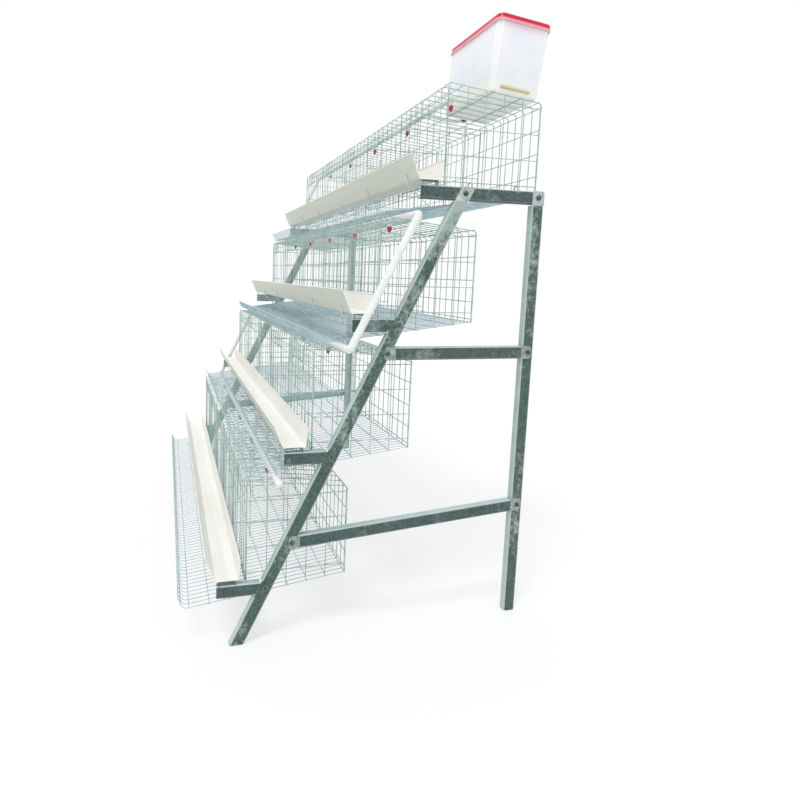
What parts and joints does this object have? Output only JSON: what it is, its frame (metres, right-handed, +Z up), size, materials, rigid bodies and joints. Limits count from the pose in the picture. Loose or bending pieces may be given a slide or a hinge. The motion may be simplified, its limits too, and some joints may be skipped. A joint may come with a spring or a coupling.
{
  "type": "layer chicken cage",
  "caption": "Stepped wire cages for laying hens on galvanised half A-frames, with sliding doors, feed troughs, egg trays, nipple drinkers and a lidded water tank.",
  "frame": {"origin": "on the ground, under the middle of the whole cage's box", "axes": "+Z up, -Y towards the feed troughs and egg trays, +X towards the end with the water tank"},
  "size_m": [2.126, 1.2896, 2.1821],
  "materials": {
    "galvanised_wire": "galvanised",
    "galvanised_frame": "galvanised",
    "trough_plastic": "satin",
    "pipe_plastic": "satin",
    "nipple_plastic": "satin",
    "pin_steel": "polished",
    "tank_plastic": "translucent",
    "lid_plastic": "satin",
    "outlet_plastic": "matte",
    "bolt_steel": "zinc plated"
  },
  "bodies": {
    "cage": {"cage_hangers": "galvanised_frame", "cross_braces_far": "galvanised_frame", "cross_braces_near": "galvanised_frame", "drinker_pipes": "pipe_plastic", "feed_trough_1": "trough_plastic", "feed_trough_2": "trough_plastic", "feed_trough_3": "trough_plastic", "feed_trough_4": "trough_plastic", "floor_net_1": "galvanised_wire", "floor_net_2": "galvanised_wire", "floor_net_3": "galvanised_wire", "floor_net_4": "galvanised_wire", "frame_bolts": "bolt_steel", "front_leg_far": "galvanised_frame", "front_leg_near": "galvanised_frame", "nipple_bodies": "nipple_plastic", "partitions_1": "galvanised_wire", "partitions_2": "galvanised_wire", "partitions_3": "galvanised_wire", "partitions_4": "galvanised_wire", "pipe_bends": "pipe_plastic", "pipe_plugs": "pipe_plastic", "rear_post_far": "galvanised_frame", "rear_post_near": "galvanised_frame", "shell_net_1": "galvanised_wire", "shell_net_2": "galvanised_wire", "shell_net_3": "galvanised_wire", "shell_net_4": "galvanised_wire", "support_arms_far": "galvanised_frame", "support_arms_near": "galvanised_frame", "tank_outlet": "outlet_plastic", "top_beam_far": "galvanised_frame", "top_beam_near": "galvanised_frame", "trough_holders": "galvanised_wire", "water_tank": "tank_plastic"},
    "door_1_1": {"door_1_1": "galvanised_wire"},
    "door_1_2": {"door_1_2": "galvanised_wire"},
    "door_1_3": {"door_1_3": "galvanised_wire"},
    "door_1_4": {"door_1_4": "galvanised_wire"},
    "door_1_5": {"door_1_5": "galvanised_wire"},
    "door_2_1": {"door_2_1": "galvanised_wire"},
    "door_2_2": {"door_2_2": "galvanised_wire"},
    "door_2_3": {"door_2_3": "galvanised_wire"},
    "door_2_4": {"door_2_4": "galvanised_wire"},
    "door_2_5": {"door_2_5": "galvanised_wire"},
    "door_3_1": {"door_3_1": "galvanised_wire"},
    "door_3_2": {"door_3_2": "galvanised_wire"},
    "door_3_3": {"door_3_3": "galvanised_wire"},
    "door_3_4": {"door_3_4": "galvanised_wire"},
    "door_3_5": {"door_3_5": "galvanised_wire"},
    "door_4_1": {"door_4_1": "galvanised_wire"},
    "door_4_2": {"door_4_2": "galvanised_wire"},
    "door_4_3": {"door_4_3": "galvanised_wire"},
    "door_4_4": {"door_4_4": "galvanised_wire"},
    "door_4_5": {"door_4_5": "galvanised_wire"},
    "nipple_pins_1": {"nipple_pins_1": "pin_steel"},
    "nipple_pins_2": {"nipple_pins_2": "pin_steel"},
    "nipple_pins_3": {"nipple_pins_3": "pin_steel"},
    "nipple_pins_4": {"nipple_pins_4": "pin_steel"},
    "tank_lid": {"tank_lid": "lid_plastic"}
  },
  "joints": [
    {"name": "door_1_1_slide", "type": "slide", "parent": "cage", "child": "door_1_1", "axis": [1, 0, 0], "range_m": [0, 0.16]},
    {"name": "door_1_2_slide", "type": "slide", "parent": "cage", "child": "door_1_2", "axis": [1, 0, 0], "range_m": [0, 0.16]},
    {"name": "door_1_3_slide", "type": "slide", "parent": "cage", "child": "door_1_3", "axis": [1, 0, 0], "range_m": [0, 0.16]},
    {"name": "door_1_4_slide", "type": "slide", "parent": "cage", "child": "door_1_4", "axis": [1, 0, 0], "range_m": [0, 0.16]},
    {"name": "door_1_5_slide", "type": "slide", "parent": "cage", "child": "door_1_5", "axis": [1, 0, 0], "range_m": [0, 0.16]},
    {"name": "door_2_1_slide", "type": "slide", "parent": "cage", "child": "door_2_1", "axis": [1, 0, 0], "range_m": [0, 0.16]},
    {"name": "door_2_2_slide", "type": "slide", "parent": "cage", "child": "door_2_2", "axis": [1, 0, 0], "range_m": [0, 0.16]},
    {"name": "door_2_3_slide", "type": "slide", "parent": "cage", "child": "door_2_3", "axis": [1, 0, 0], "range_m": [0, 0.16]},
    {"name": "door_2_4_slide", "type": "slide", "parent": "cage", "child": "door_2_4", "axis": [1, 0, 0], "range_m": [0, 0.16]},
    {"name": "door_2_5_slide", "type": "slide", "parent": "cage", "child": "door_2_5", "axis": [1, 0, 0], "range_m": [0, 0.16]},
    {"name": "door_3_1_slide", "type": "slide", "parent": "cage", "child": "door_3_1", "axis": [1, 0, 0], "range_m": [0, 0.16]},
    {"name": "door_3_2_slide", "type": "slide", "parent": "cage", "child": "door_3_2", "axis": [1, 0, 0], "range_m": [0, 0.16]},
    {"name": "door_3_3_slide", "type": "slide", "parent": "cage", "child": "door_3_3", "axis": [1, 0, 0], "range_m": [0, 0.16]},
    {"name": "door_3_4_slide", "type": "slide", "parent": "cage", "child": "door_3_4", "axis": [1, 0, 0], "range_m": [0, 0.16]},
    {"name": "door_3_5_slide", "type": "slide", "parent": "cage", "child": "door_3_5", "axis": [1, 0, 0], "range_m": [0, 0.16]},
    {"name": "door_4_1_slide", "type": "slide", "parent": "cage", "child": "door_4_1", "axis": [1, 0, 0], "range_m": [0, 0.16]},
    {"name": "door_4_2_slide", "type": "slide", "parent": "cage", "child": "door_4_2", "axis": [1, 0, 0], "range_m": [0, 0.16]},
    {"name": "door_4_3_slide", "type": "slide", "parent": "cage", "child": "door_4_3", "axis": [1, 0, 0], "range_m": [0, 0.16]},
    {"name": "door_4_4_slide", "type": "slide", "parent": "cage", "child": "door_4_4", "axis": [1, 0, 0], "range_m": [0, 0.16]},
    {"name": "door_4_5_slide", "type": "slide", "parent": "cage", "child": "door_4_5", "axis": [1, 0, 0], "range_m": [0, 0.16]},
    {"name": "nipple_pins_1_push", "type": "slide", "parent": "cage", "child": "nipple_pins_1", "axis": [0, 0, 1], "range_m": [0, 0.002]},
    {"name": "nipple_pins_2_push", "type": "slide", "parent": "cage", "child": "nipple_pins_2", "axis": [0, 0, 1], "range_m": [0, 0.002]},
    {"name": "nipple_pins_3_push", "type": "slide", "parent": "cage", "child": "nipple_pins_3", "axis": [0, 0, 1], "range_m": [0, 0.002]},
    {"name": "nipple_pins_4_push", "type": "slide", "parent": "cage", "child": "nipple_pins_4", "axis": [0, 0, 1], "range_m": [0, 0.002]},
    {"name": "tank_lid_lift", "type": "slide", "parent": "cage", "child": "tank_lid", "axis": [0, 0.1089, 0.9941], "range_m": [0, 0.12]}
  ]
}
